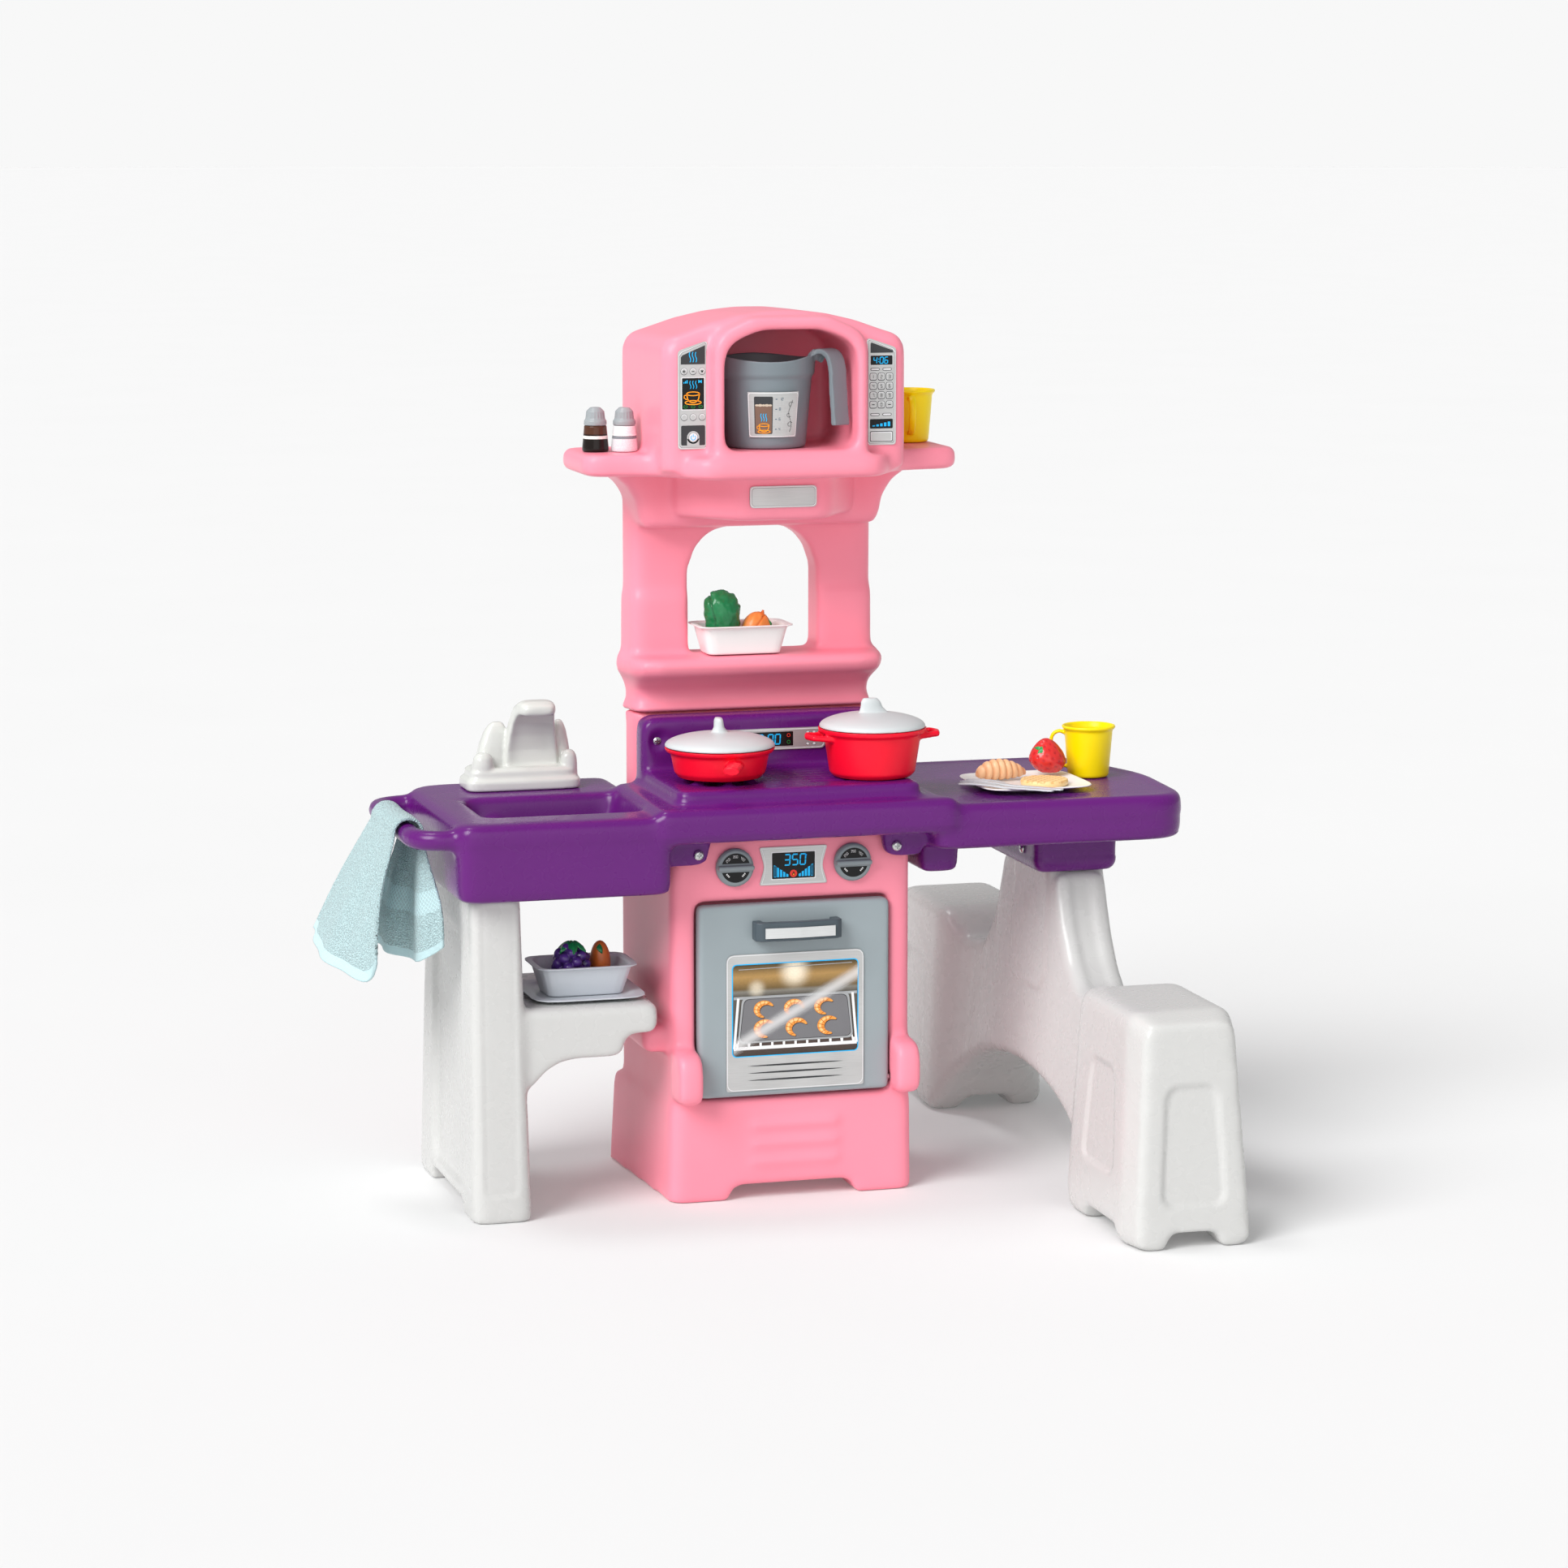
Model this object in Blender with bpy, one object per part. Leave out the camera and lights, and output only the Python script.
"""Toy kitchen with a sink wing, a stove, an oven tower, a table wing and a two-seat bench.

Metres, +Z up. The object faces -Y. The origin is on the floor under the middle of the whole set.
"""
import math

import bmesh
import bpy
from mathutils import Matrix, Vector

# Driving dimensions. Every place below is measured from the middle of the oven front at floor level.
HEIGHT = 1.033
BACK = 0.215            # the back of the tower, behind the oven front
CABINET_HALF = 0.144
SEAM_Z = 0.5550         # the upper tower stands on the cabinet neck here
COUNTER_TOP = 0.466
COUNTER_FRONT = -0.055
STOVE_TOP = 0.491
SHELF_TOP = 0.868
SILL_TOP = 0.6225
LEG_SHELF_TOP = 0.245
SEAT_TOP = 0.262
GAP = 0.0004            # clearance between pieces that rest on each other
HINGE_Y = 0.002         # the oven door's pin line
HINGE_Z = 0.137
KNOB_X = 0.071          # the knobs' axes, left and right of the middle
KNOB_Z = 0.3955
HOOD_FRONT = 0.042      # the face of the bulge under the shelf
SINK_LEFT = -0.405
WING_BACK = 0.270
TABLE_BACK = 0.285
BURNER = (-0.075, 0.046)
GRILL_X = (0.020, 0.138)
LEG_X = (-0.387, -0.322)
BENCH_MID_Y = 0.120
BENCH_LINE = [          # the bench's upper line: distance from its middle, height
    (0.0, 0.3635), (0.096, 0.3635), (0.102, 0.340), (0.118, 0.302), (0.142, 0.266), (0.170, 0.241),
    (0.200, 0.231), (0.226, 0.230), (0.250, 0.258), (0.262, SEAT_TOP), (0.60, SEAT_TOP),
]
TABLE_FLOOR = COUNTER_TOP - 0.0022
WINDOW_BOWL = (-0.0185, 0.160)
SHELF_TRAY = (-0.240, 0.060)
PLATE = (0.305, 0.062)
CUTLERY_Z = TABLE_FLOOR + 0.008 + 2 * GAP

# The bounding box of the set is centred on the origin by this shift.
SHIFT = Vector((0.01345, -0.1200, 0.0))

PINK = (0.98, 0.28, 0.39)
PURPLE = (0.13, 0.022, 0.20)
LIGHT_GREY = (0.62, 0.62, 0.60)
OFF_WHITE = (0.78, 0.79, 0.76)
DOOR_GREY = (0.30, 0.34, 0.36)
DARK_GREY = (0.07, 0.085, 0.10)
MID_GREY = (0.17, 0.19, 0.21)
SILVER = (0.70, 0.70, 0.70)
BLACK = (0.01, 0.01, 0.012)
RED = (0.85, 0.012, 0.03)
YELLOW = (0.95, 0.75, 0.01)
WHITE = (0.85, 0.86, 0.87)
LID_GREY = (0.58, 0.62, 0.64)
TRAY_GREY = (0.48, 0.49, 0.55)
STEEL = (0.60, 0.60, 0.62)
TOWEL = (0.52, 0.72, 0.74)
CROISSANT = (0.85, 0.42, 0.18)
WAFFLE = (0.90, 0.60, 0.28)
STRAWBERRY = (0.70, 0.02, 0.02)
LEAF_GREEN = (0.01, 0.20, 0.06)
CARROT = (0.90, 0.27, 0.02)
GRAPE = (0.09, 0.02, 0.18)


def clear_scene():
    for thing in list(bpy.data.objects):
        bpy.data.objects.remove(thing)


def plastic(name, colour, roughness=0.4, metallic=0.0):
    found = bpy.data.materials.get(name)
    if found:
        return found
    made = bpy.data.materials.new(name)
    made.use_nodes = True
    shader = made.node_tree.nodes["Principled BSDF"]
    shader.inputs["Base Color"].default_value = (*colour, 1.0)
    shader.inputs["Roughness"].default_value = roughness
    shader.inputs["Metallic"].default_value = metallic
    return made


def place(name, bm, material, origin=(0.0, 0.0, 0.0)):
    """Makes the object, with its own origin at a point given in the oven-front frame."""
    bmesh.ops.remove_doubles(bm, verts=bm.verts, dist=1e-6)
    bmesh.ops.recalc_face_normals(bm, faces=bm.faces)
    bmesh.ops.translate(bm, verts=bm.verts, vec=-Vector(origin))
    mesh = bpy.data.meshes.new(name)
    bm.to_mesh(mesh)
    bm.free()
    mesh.materials.append(material)
    mesh.shade_smooth()
    mesh.set_sharp_from_angle(angle=math.radians(32))
    made = bpy.data.objects.new(name, mesh)
    made.location = Vector(origin) + SHIFT
    bpy.context.scene.collection.objects.link(made)
    return made


def combine(target, bm, operation, label):
    """Joins a shape to a piece, or cuts it away. The tool stays in the scene as a hidden guide."""
    tool = place(f"tool_{target.name}_{label}", bm, target.data.materials[0])
    tool.hide_render = True
    tool.display_type = "WIRE"
    step = target.modifiers.new(label, "BOOLEAN")
    step.operation = operation
    step.solver = "EXACT"
    step.object = tool


def join(target, bm, label):
    combine(target, bm, "UNION", label)


def cut(target, bm, label):
    combine(target, bm, "DIFFERENCE", label)


def fillet(corners, steps=3):
    """A closed 2D outline from (x, y, radius) corners, with each corner as an arc."""
    points = []
    count = len(corners)
    for i, (x, y, radius) in enumerate(corners):
        here = Vector((x, y))
        before = Vector(corners[i - 1][:2]) - here
        after = Vector(corners[(i + 1) % count][:2]) - here
        if radius <= 0:
            points.append(here)
            continue
        a = before.normalized()
        b = after.normalized()
        half = a.angle(b) / 2
        reach = min(radius / math.tan(half), before.length * 0.49, after.length * 0.49)
        start = here + a * reach
        end = here + b * reach
        for k in range(steps + 1):
            t = k / steps
            points.append(start.lerp(here, t).lerp(here.lerp(end, t), t))
    return points


def loft(rings):
    """A closed body through rings that all have the same number of points."""
    bm = bmesh.new()
    made = [[bm.verts.new(p) for p in ring] for ring in rings]
    count = len(made[0])
    for low, high in zip(made, made[1:]):
        for k in range(count):
            n = (k + 1) % count
            bm.faces.new((low[k], low[n], high[n], high[k]))
    bm.faces.new(list(reversed(made[0])))
    bm.faces.new(made[-1])
    return bm


AXES = {
    "x": lambda u, v, w: (w, u, v),
    "y": lambda u, v, w: (u, w, v),
    "z": lambda u, v, w: (u, v, w),
}


def prism(outline, axis, low, high, bevel=0.0, segments=2):
    """Extrudes a 2D outline along an axis, with its end edges softened by insetting the end rings."""
    put = AXES[axis]
    if bevel <= 0:
        return loft([[put(u, v, w) for u, v in outline] for w in (low, high)])
    centre = sum((Vector(p) for p in outline), Vector((0, 0))) / len(outline)
    span = [max(abs(p[i] - centre[i]) for p in outline) for i in (0, 1)]
    rings = []
    for end, sign in ((low, 1), (high, -1)):
        part = []
        for k in range(segments + 1):
            angle = math.pi / 2 * k / segments
            back = bevel * (1 - math.sin(angle))
            level = end + sign * bevel * (1 - math.cos(angle))
            shrink = [1 - back / s for s in span]
            part.append([
                put(
                    centre[0] + (u - centre[0]) * shrink[0],
                    centre[1] + (v - centre[1]) * shrink[1],
                    level,
                )
                for u, v in outline
            ])
        rings.append(part)
    return loft(rings[0] + list(reversed(rings[1])))


def box(low, high, bevel=0.0, segments=1):
    bm = bmesh.new()
    size = Vector(high) - Vector(low)
    middle = (Vector(high) + Vector(low)) / 2
    bmesh.ops.create_cube(bm, size=1.0, matrix=Matrix.Translation(middle) @ Matrix.Diagonal((*size, 1)))
    if bevel > 0:
        bmesh.ops.bevel(
            bm, geom=bm.edges[:] + bm.verts[:], offset=bevel, segments=segments, profile=0.5,
            affect="EDGES", material=-1,
        )
    return bm


def turned(profile, sides, centre=(0.0, 0.0)):
    """A body turned round a vertical axis from (radius, z) points, the first and last on the axis."""
    bm = bmesh.new()
    rings = []
    for radius, z in profile:
        if radius < 1e-6:
            rings.append([bm.verts.new((centre[0], centre[1], z))])
            continue
        ring = []
        for k in range(sides):
            angle = 2 * math.pi * k / sides
            ring.append(bm.verts.new((
                centre[0] + radius * math.cos(angle), centre[1] + radius * math.sin(angle), z
            )))
        rings.append(ring)
    for low, high in zip(rings, rings[1:]):
        for k in range(sides):
            n = (k + 1) % sides
            if len(low) == 1:
                bm.faces.new((low[0], high[n], high[k]))
            elif len(high) == 1:
                bm.faces.new((low[k], low[n], high[0]))
            else:
                bm.faces.new((low[k], low[n], high[n], high[k]))
    return bm


def facing_front(bm, at):
    """Turns a body that was made round +Z so that its top faces -Y, and moves it to a point."""
    bmesh.ops.rotate(bm, verts=bm.verts, cent=(0, 0, 0), matrix=Matrix.Rotation(math.pi / 2, 3, "X"))
    bmesh.ops.translate(bm, verts=bm.verts, vec=at)
    return bm


def tube(path, width, sides=8, height=None):
    """A bar of elliptical section along a path."""
    height = height or width
    points = [Vector(p) for p in path]
    rings = []
    for i, point in enumerate(points):
        ahead = points[min(i + 1, len(points) - 1)]
        behind = points[max(i - 1, 0)]
        along = (ahead - behind).normalized()
        side = along.cross(Vector((0, 0, 1)))
        side = side.normalized() if side.length > 1e-4 else Vector((0, 1, 0))
        lift = side.cross(along).normalized()
        rings.append([
            point
            + side * (width / 2 * math.cos(2 * math.pi * k / sides))
            + lift * (height / 2 * math.sin(2 * math.pi * k / sides))
            for k in range(sides)
        ])
    return loft(rings)


def arc(centre, radius, start, end, steps):
    """Points (u, v) along an arc, its angles in degrees."""
    made = []
    for k in range(steps + 1):
        angle = math.radians(start + (end - start) * k / steps)
        made.append((centre[0] + radius * math.cos(angle), centre[1] + radius * math.sin(angle)))
    return made


# --- tower -----------------------------------------------------------------------------------------

def tower_ring(z, front, half_front, half_back, back=BACK, radius=0.014):
    corners = [
        (-half_front, front, radius), (half_front, front, radius),
        (half_back, back, radius * 0.6), (-half_back, back, radius * 0.6),
    ]
    return [(x, y, z) for x, y in fillet(corners, 2)]


def oven_cabinet(pink):
    """The lower tower: feet, oven cavity, hinge bosses and the neck behind the stove."""
    body = place("oven_cabinet", loft([
        tower_ring(0.0, -0.002, 0.147, 0.162, 0.250),
        tower_ring(0.110, -0.001, 0.146, 0.158, 0.240),
        tower_ring(0.119, 0.0, CABINET_HALF, 0.153, BACK),
        tower_ring(0.4315, 0.0, CABINET_HALF, 0.153),
    ]), pink)
    join(body, loft([
        tower_ring(0.40, 0.169, 0.143, 0.149),
        tower_ring(0.540, 0.169, 0.143, 0.149),
        tower_ring(SEAM_Z - GAP, 0.169, 0.143, 0.150),
    ]), "neck")
    for side in (-1, 1):
        boss = fillet([
            (-0.040, 0.122, 0.016), (0.010, 0.122, 0), (0.010, 0.185, 0), (-0.040, 0.185, 0.040),
        ])
        xs = sorted((side * 0.1165, side * 0.1455))
        join(body, prism(boss, "x", xs[0], xs[1], 0.004, 1), f"boss_{side}")
    join(body, box((-0.176, 0.012, 0.178), (-0.140, 0.130, 0.2095), 0.006, 1), "shelf_ledge")
    for k in range(3):
        z = 0.040 + 0.022 * k
        join(body, box((-0.052, -0.006, z), (0.056, 0.010, z + 0.009), 0.003, 1), f"louvre_{k}")
    cut(body, box((-0.1168, -0.05, 0.1212), (0.1168, 0.0205, 0.3545)), "door_rebate")
    cut(body, box((-0.104, -0.05, 0.146), (0.104, 0.170, 0.335), 0.006, 1), "oven_cavity")
    foot_arch = fillet([(-0.084, -0.02, 0), (0.084, -0.02, 0), (0.072, 0.017, 0.012), (-0.072, 0.017, 0.012)], 2)
    cut(body, prism(foot_arch, "y", -0.05, 0.30), "foot_arch")
    for side in (-1, 1):
        cut(body, facing_front(turned([(0, -0.025), (0.0056, -0.025), (0.0056, 0.02), (0, 0.02)], 12),
                               (side * KNOB_X, 0, KNOB_Z)), f"knob_bore_{side}")
        pin = turned([(0, -0.010), (0.0043, -0.010), (0.0043, 0.010), (0, 0.010)], 10)
        bmesh.ops.rotate(pin, verts=pin.verts, cent=(0, 0, 0), matrix=Matrix.Rotation(math.pi / 2, 3, "Y"))
        bmesh.ops.translate(pin, verts=pin.verts, vec=(side * 0.1225, HINGE_Y, HINGE_Z))
        cut(body, pin, f"pin_bore_{side}")
    return body


def head_outline(half, shoulder, top, foot, steps=7):
    """The front shape of the head: straight sides, rounded shoulders and a shallow arched top."""
    points = [(-half, foot), (half, foot), (half, shoulder - 0.018)]
    points += arc((half - 0.022, shoulder - 0.018), 0.022, 15, 62, 2)
    crown = []
    for k in range(steps + 1):
        x = (half - 0.026) * (1 - 2 * k / steps)
        crown.append((x, top - (top - shoulder - 0.004) * (x / (half - 0.022)) ** 2))
    points += crown
    points += [(-x, z) for x, z in reversed(arc((half - 0.022, shoulder - 0.018), 0.022, 15, 62, 2))]
    points.append((-half, shoulder - 0.018))
    return points


def upper_tower(pink):
    """The upper tower: window, sill, hood bulge, shelf wings and the open microwave niche."""
    body = place("upper_tower", loft([
        tower_ring(SEAM_Z, 0.160, 0.145, 0.154),
        tower_ring(0.561, 0.160, 0.145, 0.154),
        tower_ring(0.567, 0.168, 0.142, 0.149),
        tower_ring(0.582, 0.164, 0.142, 0.149),
        tower_ring(0.596, 0.145, 0.146, 0.155),
        tower_ring(0.602, 0.128, 0.149, 0.163, radius=0.030),
        tower_ring(0.614, 0.122, 0.150, 0.165, radius=0.030),
        tower_ring(SILL_TOP, 0.127, 0.147, 0.162, radius=0.030),
        tower_ring(SILL_TOP + 0.001, 0.165, 0.146, 0.155),
        tower_ring(0.692, 0.165, 0.146, 0.154),
        tower_ring(0.700, 0.170, 0.145, 0.152),
        tower_ring(0.80, 0.168, 0.145, 0.152),
        tower_ring(0.86, 0.160, 0.145, 0.152),
    ]), pink)
    wing_plan = fillet([
        (-0.226, 0.078, 0.022), (-0.150, 0.066, 0.05), (-0.105, -0.008, 0.03), (0.105, -0.008, 0.03),
        (0.150, 0.066, 0.05), (0.226, 0.078, 0.022), (0.226, 0.208, 0.022), (-0.226, 0.208, 0.022),
    ], 3)
    join(body, prism(wing_plan, "z", 0.842, SHELF_TOP, 0.007, 2), "wings")
    under = [(-0.215, 0.855), (0.215, 0.855), (0.200, 0.846)]
    under += arc((0.206, 0.786), 0.060, 95, 180, 4)
    under += [(0.140, 0.775), (-0.140, 0.775)]
    under += [(-x, z) for x, z in reversed(arc((0.206, 0.786), 0.060, 95, 180, 4))]
    under += [(-0.200, 0.846)]
    join(body, prism(under, "y", 0.130, BACK - 0.001, 0.008, 1), "wing_brackets")
    hood = fillet([
        (-0.109, 0.122, 0.010), (-0.056, HOOD_FRONT, 0.030), (0.056, HOOD_FRONT, 0.030),
        (0.109, 0.122, 0.010), (0.109, 0.180, 0), (-0.109, 0.180, 0),
    ], 4)
    join(body, prism(hood, "z", 0.790, 0.852, 0.010, 2), "hood")
    head = [(0.024, 0.132, 0.988, 1.018), (0.028, 0.140, 0.998, 1.026), (0.038, 0.1455, 1.003, HEIGHT)]
    head += [(BACK - 0.016, 0.1515, 1.001, 1.030), (BACK - 0.005, 0.146, 0.994, 1.023), (BACK, 0.138, 0.985, 1.014)]
    join(body, loft([
        [(x, y, z) for x, z in head_outline(half, shoulder, top, 0.850)] for y, half, shoulder, top in head
    ]), "head")
    frame = fillet([
        (-0.092, 0.852, 0.010), (0.092, 0.852, 0.010), (0.092, 1.006, 0.030), (0.045, 1.027, 0.03),
        (-0.045, 1.027, 0.03), (-0.092, 1.006, 0.030),
    ], 3)
    join(body, prism(frame, "y", 0.000, 0.060, 0.007, 2), "niche_frame")
    niche = fillet([
        (-0.079, 0.8745, 0.016), (0.079, 0.8745, 0.016), (0.079, 0.996, 0.040), (0.035, 1.012, 0.04),
        (-0.035, 1.012, 0.04), (-0.079, 0.996, 0.040),
    ], 3)
    cut(body, prism(niche, "y", -0.03, 0.135), "niche")
    window = [(-0.079, SILL_TOP + 0.0012), (0.079, SILL_TOP + 0.0012), (0.079, 0.725)]
    window += arc((0.026, 0.722), 0.051, 8, 90, 4)
    window += [(-x, z) for x, z in reversed(arc((0.026, 0.722), 0.051, 8, 90, 4))]
    window += [(-0.079, 0.725)]
    cut(body, prism(window, "y", 0.14, 0.26), "window")
    return body


# --- countertop ------------------------------------------------------------------------------------

def table_outline(inset=0.0):
    """Plan of the table wing: a straight front and a bowed right end."""
    return fillet([
        (0.1565 + inset, COUNTER_FRONT + inset, 0.022),
        (0.470 - inset, COUNTER_FRONT + inset, 0.050 - inset),
        (0.481 - inset, 0.120, 0.20),
        (0.430 - inset, TABLE_BACK - inset, 0.060),
        (0.1565 + inset, TABLE_BACK - inset, 0.012),
    ], 5)


def countertop(purple):
    """The purple double-walled top: sink wing, stove, backsplash, table wing, towel bar and sockets."""
    sink_plan = fillet([
        (SINK_LEFT, COUNTER_FRONT, 0.020), (-0.1560, COUNTER_FRONT, 0.014),
        (-0.1560, WING_BACK, 0.012), (SINK_LEFT, WING_BACK, 0.045),
    ], 3)
    body = place("countertop", prism(sink_plan, "z", 0.375, COUNTER_TOP, 0.008, 2), purple)
    join(body, box((-0.175, -0.060, 0.4325), (0.185, 0.1665, 0.474), 0.006, 1), "stove_base")
    stove = fillet([
        (-0.146, -0.038, 0.012), (0.146, -0.038, 0.012), (0.146, 0.160, 0.01), (-0.146, 0.160, 0.01),
    ], 2)
    join(body, prism(stove, "z", 0.450, STOVE_TOP, 0.004, 1), "stove_top")
    splash = fillet([
        (-0.147, 0.460, 0), (0.147, 0.460, 0), (0.147, 0.5542, 0.016), (-0.147, 0.5542, 0.016),
    ], 3)
    join(body, prism(splash, "y", 0.126, 0.1665, 0.005, 1), "backsplash")
    join(body, prism(table_outline(), "z", 0.411, COUNTER_TOP, 0.009, 2), "table")
    join(body, box((0.305, 0.020, 0.364), (0.410, 0.220, 0.430), 0.008, 1), "bench_socket")
    join(body, box((0.1565, 0.000, 0.376), (0.205, 0.190, 0.430), 0.006, 1), "side_bracket")
    for side in (-1, 1):
        lug = fillet([
            (side * 0.103, 0.440, 0), (side * 0.103, 0.4015, 0.020), (side * 0.1535, 0.4015, 0.008),
            (side * 0.1535, 0.440, 0),
        ], 3)
        join(body, prism(lug, "y", -0.022, -GAP), f"lug_{side}")
    bar = [(-0.385, -0.030, 0.447)]
    bar += [(x, y, 0.447) for x, y in arc((-0.415, 0.002), 0.032, -90, -180, 4)]
    bar += [(x, y, 0.447) for x, y in arc((-0.415, 0.203), 0.032, 180, 90, 4)]
    bar += [(-0.385, 0.235, 0.447)]
    join(body, tube(bar, 0.026, 10), "towel_bar")
    basin_top = fillet([(-0.362, 0.004, 0.014), (-0.172, 0.004, 0.014), (-0.172, 0.146, 0.014),
                        (-0.362, 0.146, 0.014)], 2)
    basin_floor = fillet([(-0.352, 0.014, 0.012), (-0.190, 0.014, 0.012), (-0.190, 0.134, 0.012),
                          (-0.352, 0.134, 0.012)], 2)
    cut(body, loft([[(x, y, 0.396) for x, y in basin_floor], [(x, y, 0.480) for x, y in basin_top]]), "basin")
    divider = [(x, z) for x, z in arc((-0.325, 0.428), 0.013, 0, 180, 6)] + [(-0.338, 0.390), (-0.312, 0.390)]
    join(body, prism(divider, "y", 0.006, 0.144), "divider")
    recess = table_outline(0.014)
    cut(body, prism(recess, "z", COUNTER_TOP - 0.0022, 0.50), "table_recess")
    cut(body, box((0.3285, 0.0385, 0.350), (0.3965, 0.2015, 0.4005)), "tenon_pocket")
    valley = [(0.000, 0.4845), (0.006, 0.500), (-0.006, 0.500)]
    cut(body, prism(valley, "y", -0.060, 0.118), "valley")
    for k in range(6):
        y = 0.004 + 0.018 * k
        groove = fillet([(GRILL_X[0], y, 0.003), (GRILL_X[1], y, 0.003),
                         (GRILL_X[1], y + 0.008, 0.003), (GRILL_X[0], y + 0.008, 0.003)], 1)
        cut(body, prism(groove, "z", STOVE_TOP - 0.004, 0.50), f"grill_{k}")
    cut(body, turned([(0, STOVE_TOP - 0.003), (0.050, STOVE_TOP - 0.003), (0.054, 0.500), (0, 0.500)], 20,
                     BURNER), "burner_dish")
    for k in range(6):
        angle = math.radians(30 + 60 * k)
        at = (BURNER[0] + 0.036 * math.cos(angle), BURNER[1] + 0.036 * math.sin(angle))
        join(body, turned([(0, 0.482), (0.0075, 0.482), (0.0065, 0.4915), (0.0035, 0.4945), (0, 0.4945)],
                          8, at), f"burner_stud_{k}")
    for side in (-1, 1):
        cut(body, facing_front(turned([(0, -0.006), (0.0105, -0.006), (0.0125, 0.010), (0, 0.010)], 12),
                               (side * 0.128, 0.126, 0.526)), f"screw_dish_{side}")
    return body


# --- leg and bench ---------------------------------------------------------------------------------

def side_leg(grey):
    """The left leg with its cantilever shelf, which rests on the ledge on the cabinet's side."""
    low = fillet([(LEG_X[0] - 0.001, -0.034, 0.012), (LEG_X[1] + 0.004, -0.034, 0.012),
                  (LEG_X[1] + 0.004, 0.272, 0.012), (LEG_X[0] - 0.004, 0.272, 0.012)], 2)
    high = fillet([(LEG_X[0] + 0.001, -0.022, 0.012), (LEG_X[1] - 0.004, -0.022, 0.012),
                   (LEG_X[1] - 0.004, 0.240, 0.012), (LEG_X[0] + 0.001, 0.240, 0.012)], 2)
    body = place("side_leg", loft([
        [(x, y, 0.0) for x, y in low], [(x, y, 0.375 - GAP) for x, y in high],
    ]), grey)
    arm = [(-0.345, LEG_SHELF_TOP), (-0.172, LEG_SHELF_TOP), (-0.166, LEG_SHELF_TOP - 0.006)]
    arm += [(-0.166, 0.217), (-0.172, 0.2100), (-0.196, 0.2100), (-0.204, 0.204), (-0.208, 0.189), (-0.217, 0.184)]
    arm += [(-0.262, 0.184)]
    arm += arc((-0.262, 0.122), 0.062, 90, 150, 3)
    arm += [(-0.345, 0.140)]
    join(body, prism(arm, "y", -0.021, 0.205, 0.006, 1), "shelf_arm")
    cut(body, box((-0.420, 0.030, -0.02), (-0.300, 0.200, 0.016), 0.008, 1), "foot_arch")
    panel = fillet([(0.030, 0.030, 0.02), (0.195, 0.030, 0.02), (0.185, 0.330, 0.02), (0.040, 0.330, 0.02)], 2)
    cut(body, prism(panel, "x", -0.410, LEG_X[0] + 0.005), "side_panel")
    return body


def bench_top(d):
    """Height of the bench's upper line at a distance from its middle."""
    for (d0, z0), (d1, z1) in zip(BENCH_LINE, BENCH_LINE[1:]):
        if d <= d1:
            return z0 + (z1 - z0) * (d - d0) / (d1 - d0)
    return SEAT_TOP


def bench_bottom(d):
    """Height of the bench's lower line: an arch between the two seats, then the floor."""
    if d >= 0.250:
        return 0.0
    return 0.118 * math.sqrt(1 - (d / 0.250) ** 2)


def bench(grey):
    """Two seats on one moulded body, with a pedestal between them that plugs into the table."""
    stations = [0.0, 0.05, 0.096, 0.102, 0.118, 0.142, 0.170, 0.200, 0.226, 0.248, 0.262, 0.300, 0.440, 0.478]
    seat_mid = 0.365
    rings = []
    for d in [-s for s in reversed(stations)] + stations[1:]:
        reach = abs(d)
        top = bench_top(reach)
        bottom = bench_bottom(reach)
        blend = min(1.0, max(0.0, (reach - 0.215) / 0.040))
        half_top = 0.032 + 0.030 * blend
        half_bottom = 0.047 + 0.029 * blend
        if reach > 0.45:
            top -= 0.010
            half_top -= 0.010
            half_bottom -= 0.008
        lean = 0.022 * blend * (1 if reach > 0.35 else -0.4)
        mid_x = 0.3625 + (seat_mid - 0.3625) * blend
        shape = fillet([
            (mid_x - half_bottom, bottom, 0.012), (mid_x + half_bottom, bottom, 0.012),
            (mid_x + half_top, top, 0.014), (mid_x - half_top, top, 0.014),
        ], 2)
        rings.append([
            (x, BENCH_MID_Y + math.copysign(reach - lean * z / SEAT_TOP, d), z) for x, z in shape
        ])
    body = place("bench", loft(rings), grey)
    join(body, box((0.329, 0.039, 0.340), (0.396, 0.201, 0.400), 0.004, 1), "tenon")
    for side in (-1, 1):
        near, far = sorted((BENCH_MID_Y + side * 0.255, BENCH_MID_Y + side * 0.52))
        cut(body, prism(fillet([(0.325, -0.02, 0), (0.405, -0.02, 0), (0.392, 0.018, 0.01), (0.338, 0.018, 0.01)], 2),
                        "y", near - 0.06, far), f"foot_arch_{side}")
        mid_y = BENCH_MID_Y + side * 0.368
        cut(body, prism(fillet([(mid_y - 0.062, -0.02, 0), (mid_y + 0.062, -0.02, 0), (mid_y + 0.05, 0.016, 0.01),
                                (mid_y - 0.05, 0.016, 0.01)], 2), "x", 0.25, 0.48), f"side_arch_{side}")
        panel = fillet([(0.333, 0.045, 0.015), (0.397, 0.045, 0.015), (0.391, 0.185, 0.015),
                        (0.339, 0.185, 0.015)], 2)
        face = BENCH_MID_Y + side * 0.478
        ys = sorted((face - side * 0.0145, face + side * 0.05))
        cut(body, prism(panel, "y", ys[0], ys[1]), f"end_panel_{side}")
    return body


# --- fittings --------------------------------------------------------------------------------------

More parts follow.
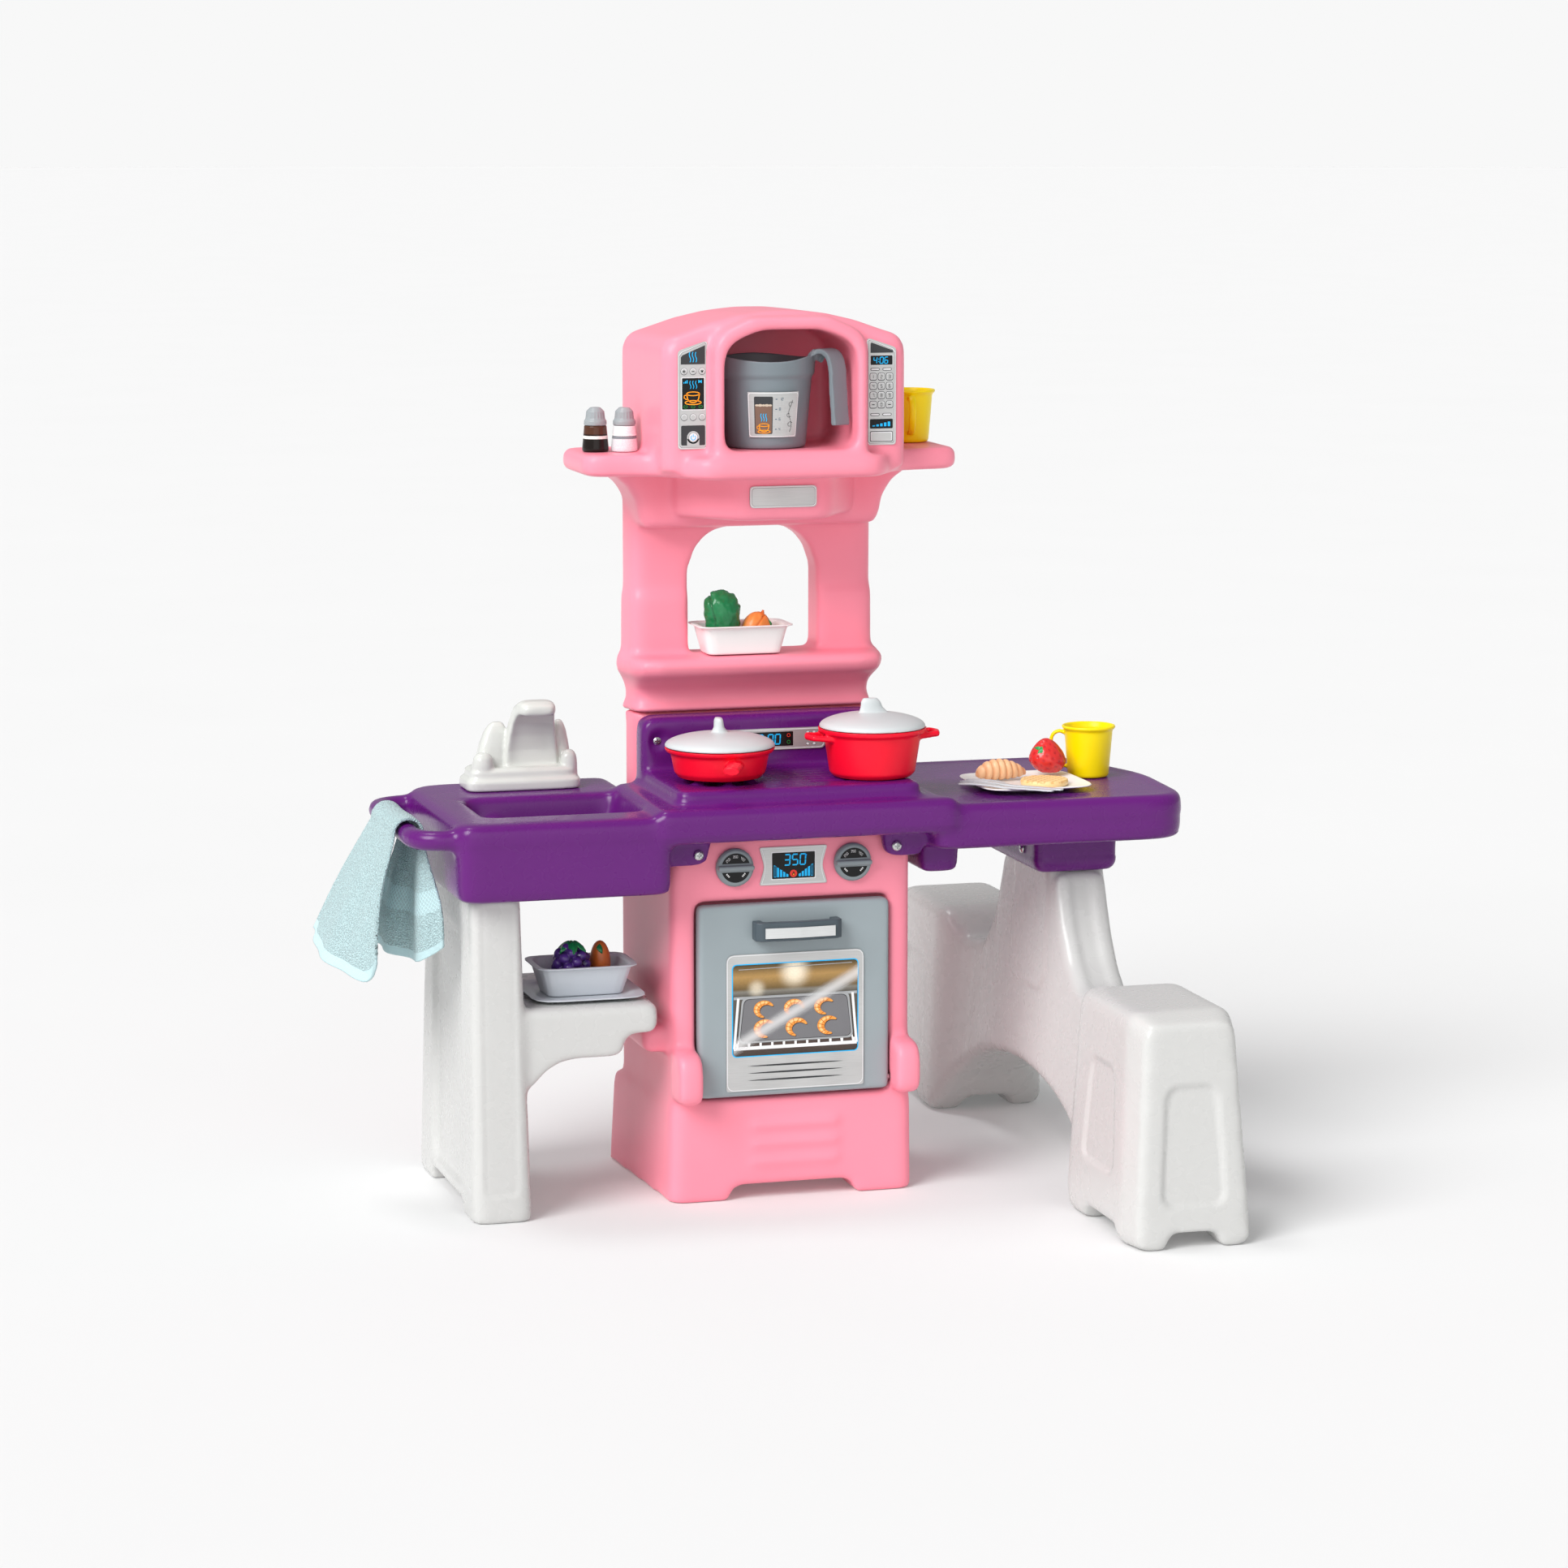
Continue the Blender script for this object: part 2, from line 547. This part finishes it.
def faucet(white):
    """The tap: a long base, stepped handle lobes and a fin-like spout that arches over the basin."""
    base = fillet([(-0.3440, 0.178, 0.018), (-0.2065, 0.178, 0.018), (-0.2065, 0.246, 0.018),
                   (-0.3440, 0.246, 0.018)], 3)
    body = place("faucet", prism(base, "z", COUNTER_TOP + GAP, 0.480, 0.004, 2), white)
    lobes = fillet([
        (-0.3380, 0.476, 0), (-0.3330, 0.497, 0.006), (-0.3270, 0.5140, 0.008), (-0.3165, 0.5150, 0.003),
        (-0.3050, 0.5400, 0.012), (-0.2900, 0.5430, 0), (-0.2250, 0.5430, 0.008), (-0.2160, 0.5380, 0.008),
        (-0.2160, 0.5100, 0.003), (-0.2115, 0.4980, 0.006), (-0.2100, 0.476, 0),
    ], 2)
    join(body, prism(lobes, "y", 0.196, 0.238, 0.007, 1), "handle_lobes")
    spout = [
        (0.184, 0.478, -0.2960, -0.2330), (0.186, 0.500, -0.2930, -0.2310), (0.182, 0.525, -0.2870, -0.2290),
        (0.170, 0.545, -0.2800, -0.2285), (0.160, 0.556, -0.2740, -0.2285), (0.160, 0.564, -0.2700, -0.2290),
        (0.172, 0.575, -0.2660, -0.2310), (0.195, 0.5765, -0.2680, -0.2320), (0.218, 0.565, -0.2760, -0.2310),
        (0.234, 0.540, -0.2860, -0.2300), (0.240, 0.505, -0.2940, -0.2310), (0.242, 0.478, -0.2970, -0.2330),
    ]
    rings = []
    for share, inset in ((0.0, 0.006), (0.09, 0.0), (0.91, 0.0), (1.0, 0.006)):
        middle = Vector((0.205, 0.515))
        ring = []
        for y, z, left, right in spout:
            flat = Vector((y, z)).lerp(middle, inset / 0.05)
            ring.append((left + (right - left) * share, flat.x, flat.y))
        rings.append(ring)
    join(body, loft(rings), "spout")
    return body


def thin_plate(name, corners, y, material, thickness=0.0012, steps=3):
    """A printed label that lies on a face looking forward, a hair in front of it."""
    return place(name, prism(fillet(corners, steps), "y", y - thickness - GAP, y - GAP), material)


def labels(silver, white):
    thin_plate("clock_panel", [(-0.0755, 0.511, 0.006), (0.0755, 0.511, 0.006), (0.0755, 0.5365, 0.006),
                               (-0.0755, 0.5365, 0.006)], 0.126, white)
    thin_plate("oven_display", [(-0.041, 0.372, 0.002), (0.041, 0.372, 0.002), (0.0345, 0.3935, 0.02),
                                (0.041, 0.4165, 0.002), (-0.041, 0.4165, 0.002), (-0.0345, 0.3935, 0.02)],
               0.0, silver, steps=2)
    thin_plate("coffee_panel", [(-0.130, 0.877, 0.004), (-0.0945, 0.877, 0.004), (-0.0945, 1.001, 0.004),
                                (-0.130, 0.989, 0.006)], 0.024, silver)
    thin_plate("microwave_panel", [(0.0945, 0.877, 0.004), (0.130, 0.877, 0.004), (0.130, 0.989, 0.006),
                                   (0.0945, 1.001, 0.004)], 0.024, silver)
    thin_plate("name_plate", [(-0.040, 0.8060, 0.005), (0.040, 0.8060, 0.005), (0.040, 0.8310, 0.005),
                              (-0.040, 0.8310, 0.005)], HOOD_FRONT, silver, 0.002)


def knob(name, side, material):
    """An oven knob: a dial with a grip bar and a stem that snaps into the cabinet."""
    at = (side * KNOB_X, 0.0, KNOB_Z)
    dial = turned([(0, 0.0006), (0.0225, 0.0006), (0.0225, 0.006), (0.020, 0.0085), (0, 0.0085)], 24)
    body = place(name, facing_front(dial, at), material, at)
    join(body, box((at[0] - 0.0215, -0.0145, at[2] - 0.003), (at[0] + 0.0215, -0.005, at[2] + 0.003),
                   0.0015, 1), "grip")
    join(body, facing_front(turned([(0, -0.020), (0.0048, -0.020), (0.0052, -0.017), (0.0052, 0.003), (0, 0.003)], 12),
                            at), "stem")


def oven_door(grey, dark, silver, steel):
    """A hollow-backed door that swings down on two pins, with its handle and window label."""
    hinge = (0.0, HINGE_Y, HINGE_Z)
    slab = fillet([(-0.1150, 0.1245, 0.006), (0.1150, 0.1245, 0.006), (0.1150, 0.3515, 0.006),
                   (-0.1150, 0.3515, 0.006)], 2)
    door = place("oven_door", prism(slab, "y", -0.0085, 0.0125, 0.003, 1), grey, hinge)
    cut(door, box((-0.100, 0.0035, 0.158), (0.100, 0.030, 0.338), 0.003, 1), "hollow_back")
    for side in (-1, 1):
        bore = turned([(0, -0.012), (0.0043, -0.012), (0.0043, 0.012), (0, 0.012)], 10)
        bmesh.ops.rotate(bore, verts=bore.verts, cent=(0, 0, 0), matrix=Matrix.Rotation(math.pi / 2, 3, "Y"))
        bmesh.ops.translate(bore, verts=bore.verts, vec=(side * 0.1150, HINGE_Y, HINGE_Z))
        cut(door, bore, f"pin_bore_{side}")
        pin = turned([(0, -0.0105), (0.0040, -0.0105), (0.0040, 0.0105), (0, 0.0105)], 10)
        bmesh.ops.rotate(pin, verts=pin.verts, cent=(0, 0, 0), matrix=Matrix.Rotation(math.pi / 2, 3, "Y"))
        bmesh.ops.translate(pin, verts=pin.verts, vec=(side * 0.1185, HINGE_Y, HINGE_Z))
        place(f"door_pin_{'left' if side < 0 else 'right'}", pin, steel)
    front = -0.0085 - GAP
    grip = [(-0.052, front), (-0.052, front - 0.016), (-0.046, front - 0.021), (0.0, front - 0.024),
            (0.046, front - 0.021), (0.052, front - 0.016), (0.052, front), (0.041, front),
            (0.041, front - 0.011), (0.0, front - 0.014), (-0.041, front - 0.011), (-0.041, front)]
    place("door_handle", prism(grip, "z", 0.3110, 0.3330), dark, hinge)
    strip_front = front - 0.024 - GAP
    strip = [(-0.042, strip_front + 0.0022), (0.0, strip_front), (0.042, strip_front + 0.0022),
             (0.042, strip_front + 0.0008), (0.0, strip_front - 0.0014), (-0.042, strip_front + 0.0008)]
    place("handle_strip", prism(strip, "z", 0.3150, 0.3270), silver, hinge)
    place("door_window_label", prism(fillet([(-0.083, 0.1320, 0.003), (0.083, 0.1320, 0.003),
                                             (0.083, 0.2935, 0.010), (-0.083, 0.2935, 0.010)], 3),
                                     "y", front - 0.0012, front), silver, hinge)


def screw(name, at, material):
    """A pan-head screw whose head faces forward, in front of the face it clamps."""
    head = turned([(0, GAP), (0.0058, GAP), (0.0058, 0.0016), (0.0035, 0.0034), (0, 0.0036)], 10)
    place(name, facing_front(head, at), material, at)


def screws(steel):
    for side, word in ((-1, "left"), (1, "right")):
        screw(f"backsplash_screw_{word}", (side * 0.128, 0.132, 0.526), steel)
        screw(f"apron_screw_{word}", (side * 0.119, -0.022, 0.4150), steel)
    for k, y in ((1, 0.070), (2, 0.170)):
        head = turned([(0, GAP), (0.0058, GAP), (0.0058, 0.0016), (0.0035, 0.0034), (0, 0.0036)], 10)
        bmesh.ops.rotate(head, verts=head.verts, cent=(0, 0, 0), matrix=Matrix.Rotation(-math.pi / 2, 3, "Y"))
        bmesh.ops.translate(head, verts=head.verts, vec=(0.305, y, 0.388))
        place(f"bench_screw_{k}", head, steel)


# --- kitchenware -----------------------------------------------------------------------------------

def vessel(profile_out, wall, floor):
    """The section of a round vessel: its outside, then its inside, a wall's thickness away."""
    inside = [(max(r - wall, 0.001), z) for r, z in profile_out[1:]]
    inside = [(r, max(z, profile_out[0][1] + floor)) for r, z in inside]
    return [(0, profile_out[0][1])] + profile_out + list(reversed(inside)) + [(0, profile_out[0][1] + floor)]


def pan_and_pot(red, lid_grey):
    pan_at = (BURNER[0], BURNER[1], 0.4945 + GAP)
    z = pan_at[2]
    pan = place("pan", turned(vessel([(0.048, z), (0.053, z + 0.006), (0.0575, z + 0.028), (0.0625, z + 0.030),
                                      (0.0645, z + 0.035)], 0.0035, 0.004), 24, pan_at[:2]), red, pan_at)
    join(pan, tube([(pan_at[0] + 0.004, pan_at[1] - 0.050, z + 0.020), (pan_at[0] - 0.003, pan_at[1] - 0.076, z + 0.022),
                    (pan_at[0] - 0.012, pan_at[1] - 0.092, z + 0.019)], 0.020, 8, 0.011), "handle")
    lid_z = z + 0.035 + GAP
    lid = place("pan_lid", turned([(0, lid_z), (0.0640, lid_z), (0.0640, lid_z + 0.002), (0.042, lid_z + 0.010),
                                   (0.016, lid_z + 0.0155), (0, lid_z + 0.016)], 24, pan_at[:2]), lid_grey, pan_at)
    join(lid, turned([(0, lid_z + 0.008), (0.012, lid_z + 0.012), (0.0055, lid_z + 0.022), (0.0065, lid_z + 0.031),
                      (0.003, lid_z + 0.034), (0, lid_z + 0.034)], 10, pan_at[:2]), "lid_knob")
    pot_at = (0.104, 0.027, STOVE_TOP + GAP)
    z = pot_at[2]
    pot = place("pot", turned(vessel([(0.045, z), (0.050, z + 0.005), (0.057, z + 0.050), (0.0625, z + 0.052),
                                      (0.0635, z + 0.057)], 0.0035, 0.004), 24, pot_at[:2]), red, pot_at)
    for side in (-1, 1):
        x0 = pot_at[0] + side * 0.0515
        join(pot, tube([(x0, pot_at[1] - 0.018, z + 0.046), (x0 + side * 0.023, pot_at[1] - 0.014, z + 0.048),
                        (x0 + side * 0.027, pot_at[1], z + 0.048), (x0 + side * 0.023, pot_at[1] + 0.014, z + 0.048),
                        (x0, pot_at[1] + 0.018, z + 0.046)], 0.008, 6, 0.008), f"handle_{side}")
    lid_z = z + 0.057 + GAP
    lid = place("pot_lid", turned([(0, lid_z), (0.0620, lid_z), (0.0620, lid_z + 0.002), (0.040, lid_z + 0.012),
                                   (0.016, lid_z + 0.0165), (0, lid_z + 0.017)], 24, pot_at[:2]), lid_grey, pot_at)
    join(lid, turned([(0, lid_z + 0.010), (0.014, lid_z + 0.014), (0.009, lid_z + 0.024), (0.0105, lid_z + 0.031),
                      (0.006, lid_z + 0.034), (0, lid_z + 0.034)], 10, pot_at[:2]), "lid_knob")


def jug(grey, silver):
    """The coffee jug: a tapered body and a strap handle that runs out from the rim and down."""
    at = (-0.0140, 0.066, 0.8745 + GAP)
    z = at[2]
    body = place("jug", turned(vessel([(0.0440, z), (0.0465, z + 0.004), (0.0545, z + 0.084), (0.0575, z + 0.090),
                                       (0.0580, z + 0.108)], 0.003, 0.004), 24, at[:2]), grey, at)
    out = Vector((math.cos(math.radians(-30)), math.sin(math.radians(-30)), 0))
    path = [(0.0545, 0.102), (0.068, 0.118), (0.079, 0.115), (0.087, 0.092), (0.090, 0.055), (0.094, 0.024)]
    join(body, tube([Vector((*at[:2], z + h)) + out * r for r, h in path], 0.020, 8, 0.007), "strap")
    rings = []
    for h in (0.014, 0.066):
        radius = 0.0465 + (0.0545 - 0.0465) * (h - 0.004) / 0.080
        ring = []
        for thick in (GAP, GAP + 0.0012):
            steps = [math.radians(-128 + 66 * k / 6) for k in range(7)]
            if thick > GAP:
                steps.reverse()
            ring += [(at[0] + (radius + thick + 0.0004) * math.cos(a), at[1] + (radius + thick + 0.0004) * math.sin(a), z + h)
                     for a in steps]
        rings.append(ring)
    place("jug_label", loft(rings), silver, at)


def shaker(name, x, y, cap_material, glass_material):
    z = SHELF_TOP + GAP
    place(f"{name}_body", turned([(0, z), (0.0150, z), (0.0155, z + 0.003), (0.0130, z + 0.030), (0, z + 0.030)],
                                 14, (x, y)), glass_material, (x, y, z))
    top = z + 0.030 + GAP
    place(f"{name}_cap", turned([(0, top), (0.0132, top), (0.0132, top + 0.005), (0.0115, top + 0.007),
                                 (0.0105, top + 0.016), (0.0060, top + 0.0205), (0, top + 0.021)], 14, (x, y)),
          cap_material, (x, y, z))


def cup(name, at, turn, yellow):
    """A mug with a rolled rim and a hook handle, turned by an angle in degrees."""
    z = at[2]
    body = place(name, turned(vessel([(0.0230, z), (0.0250, z + 0.003), (0.0292, z + 0.057), (0.0322, z + 0.0595),
                                      (0.0320, z + 0.0625)], 0.0026, 0.003), 20, at[:2]), yellow, at)
    out = Vector((math.cos(math.radians(turn)), math.sin(math.radians(turn)), 0))
    path = [(0.0280, 0.053), (0.038, 0.055), (0.045, 0.046), (0.044, 0.027), (0.036, 0.016), (0.0255, 0.013)]
    join(body, tube([Vector((*at[:2], z + h)) + out * r for r, h in path], 0.008, 6, 0.005), "handle")


def tray_shape(centre, half, depth, z, height, wall, flare, lip):
    """A rounded square dish: rings for its outside going up and its inside coming down."""
    def ring(hx, hy, level):
        r = min(hx, hy) * 0.45
        return [(centre[0] + x, centre[1] + y, level)
                for x, y in fillet([(-hx, -hy, r), (hx, -hy, r), (hx, hy, r), (-hx, hy, r)], 3)]
    hx, hy = half
    return loft([
        ring(hx - flare, hy - flare, z),
        ring(hx - lip, hy - lip, z + height - 0.0025),
        ring(hx, hy, z + height - 0.002),
        ring(hx, hy, z + height),
        ring(hx - lip - wall, hy - lip - wall, z + height - 0.0008),
        ring(hx - flare - wall, hy - flare - wall, z + height - depth),
    ])


def ball(centre, size, rows=7, columns=10):
    """An egg-shaped solid with its three half sizes."""
    bm = bmesh.new()
    scale = Matrix.Translation(centre) @ Matrix.Diagonal((*size, 1.0))
    bmesh.ops.create_uvsphere(bm, u_segments=columns, v_segments=rows, radius=1.0, matrix=scale)
    return bm


def window_bowl(white, green, carrot):
    x, y = WINDOW_BOWL
    z = SILL_TOP + 0.0012 + GAP
    place("window_bowl", tray_shape((x, y), (0.0585, 0.037), 0.032, z, 0.035, 0.003, 0.014, 0.006), white, (x, y, z))
    floor = z + 0.003 + GAP
    place("broccoli", ball((x - 0.0215, y + 0.001, floor + 0.0360), (0.0225, 0.0185, 0.0360)), green, (x, y, z))
    place("carrot", ball((x + 0.0190, y + 0.000, floor + 0.0220), (0.0170, 0.0140, 0.0220)), carrot, (x, y, z))


def shelf_tray(grey, grape, carrot):
    x, y = SHELF_TRAY
    z = LEG_SHELF_TOP + GAP
    place("shelf_plate", tray_shape((x, y), (0.068, 0.068), 0.003, z, 0.0055, 0.003, 0.016, 0.008), grey, (x, y, z))
    base = z + 0.0055 - 0.003 + GAP
    place("shelf_bowl", tray_shape((x, y - 0.004), (0.061, 0.046), 0.032, base, 0.036, 0.003, 0.016, 0.006), grey,
          (x, y, z))
    floor = base + 0.004 + GAP
    place("grapes", ball((x - 0.012, y - 0.010, floor + 0.0280), (0.0240, 0.0200, 0.0280)), grape, (x, y, z))
    place("orange", ball((x + 0.0255, y + 0.0060, floor + 0.0260), (0.0130, 0.0150, 0.0260)), carrot, (x, y, z))


def table_meal(white, croissant, waffle, strawberry, lid_grey):
    x, y = PLATE
    z = TABLE_FLOOR + GAP
    place("plate", tray_shape((x, y), (0.068, 0.068), 0.0045, z, 0.008, 0.0025, 0.018, 0.008), white, (x, y, z))
    floor = z + 0.0035 + GAP
    place("croissant", ball((x - 0.021, y + 0.026, floor + 0.0150), (0.0345, 0.0150, 0.0150)), croissant, (x, y, z))
    place("waffle", turned([(0, floor), (0.0275, floor), (0.0285, floor + 0.004), (0.0275, floor + 0.008),
                            (0, floor + 0.008)], 14, (x + 0.017, y - 0.020)), waffle, (x, y, z))
    place("strawberry", ball((x + 0.039, y + 0.034, z + 0.0295), (0.0235, 0.0190, 0.0220)), strawberry, (x, y, z))


def cutlery(name, start, end, z, broad, material):
    """A flat fork or knife from its tip to the end of its handle."""
    a = Vector((*start, z))
    b = Vector((*end, z))
    along = (b - a).normalized()
    side = Vector((-along.y, along.x, 0))
    widths = [(0.0, broad * 0.6), (0.10, broad), (0.34, broad), (0.44, 0.0030), (0.80, 0.0045), (0.97, 0.0050), (1.0, 0.0030)]
    edge = [a + (b - a) * t + side * w for t, w in widths]
    edge += [a + (b - a) * t - side * w for t, w in reversed(widths)]
    place(name, loft([[(p.x, p.y, p.z + h) for p in edge] for h in (0.0, 0.0022)]), material, tuple(a))


def towel(cloth):
    """A hand towel gathered over the bar, its two halves fanning out as they hang."""
    bar = Vector((-0.447, 0.447))
    sections = [
        (-0.059, 0.262, 0.010, 0.200), (-0.030, 0.370, 0.040, 0.170), (-0.0200, 0.447, 0.060, 0.150),
        (-0.0140, 0.4615, 0.062, 0.148), (0.0, 0.4670, 0.062, 0.148), (0.0140, 0.4615, 0.062, 0.148),
        (0.0200, 0.447, 0.060, 0.150), (0.0265, 0.372, 0.052, 0.155), (0.0265, 0.300, 0.045, 0.160),
    ]
    thickness = 0.0055
    rings = []
    for i, (dx, z, near, far) in enumerate(sections):
        ahead = sections[min(i + 1, len(sections) - 1)]
        behind = sections[max(i - 1, 0)]
        along = Vector((ahead[0] - behind[0], ahead[1] - behind[1])).normalized()
        inner = Vector((along.y, -along.x)) * thickness
        out = (bar.x + dx, z)
        inside = (out[0] + inner.x, out[1] + inner.y)
        rings.append([
            (out[0], near, out[1]), (out[0], far, out[1]), (inside[0], far, inside[1]), (inside[0], near, inside[1]),
        ])
    place("towel", loft(rings), cloth)


def main():
    clear_scene()
    pink = plastic("pink_polyethylene", PINK)
    purple = plastic("purple_polyethylene", PURPLE)
    light_grey = plastic("light_grey_polyethylene", LIGHT_GREY)
    silver = plastic("silver_print", SILVER, 0.3)
    white = plastic("white_plastic", WHITE, 0.35)
    black = plastic("black_print", BLACK, 0.3)
    steel = plastic("steel", STEEL, 0.25, 1.0)
    dark = plastic("dark_grey_plastic", DARK_GREY)
    mid_grey = plastic("mid_grey_plastic", MID_GREY, 0.45)
    lid_grey = plastic("lid_grey_plastic", LID_GREY)
    tray_grey = plastic("tray_grey_plastic", TRAY_GREY)
    carrot = plastic("carrot_plastic", CARROT, 0.3)
    green = plastic("leaf_green_plastic", LEAF_GREEN, 0.3)
    oven_cabinet(pink)
    upper_tower(pink)
    countertop(purple)
    side_leg(light_grey)
    bench(light_grey)
    faucet(plastic("off_white_polyethylene", OFF_WHITE, 0.3))
    labels(silver, white)
    knob_grey = plastic("knob_grey_plastic", DOOR_GREY)
    knob("knob_left", -1, knob_grey)
    knob("knob_right", 1, knob_grey)
    oven_door(plastic("door_grey_plastic", DOOR_GREY), dark, silver, steel)
    screws(steel)
    pan_and_pot(plastic("red_plastic", RED), lid_grey)
    jug(mid_grey, silver)
    shaker("pepper_shaker", -0.2010, 0.128, mid_grey, black)
    shaker("salt_shaker", -0.1685, 0.120, mid_grey, white)
    cup("shelf_cup", (0.1895, 0.165, SHELF_TOP + GAP), -100, plastic("yellow_plastic", YELLOW))
    cup("table_cup", (0.4040, 0.117, TABLE_FLOOR + GAP), 160, plastic("yellow_plastic", YELLOW))
    window_bowl(white, green, carrot)
    shelf_tray(tray_grey, plastic("grape_plastic", GRAPE, 0.25), carrot)
    table_meal(white, plastic("croissant_plastic", CROISSANT), plastic("waffle_plastic", WAFFLE),
               plastic("strawberry_plastic", STRAWBERRY, 0.25), lid_grey)
    cutlery("fork", (0.226, 0.060), (0.318, -0.036), CUTLERY_Z, 0.0090, lid_grey)
    cutlery("knife", (0.212, 0.043), (0.305, -0.040), CUTLERY_Z, 0.0065, lid_grey)
    towel(plastic("terry_cloth", TOWEL, 0.9))


main()
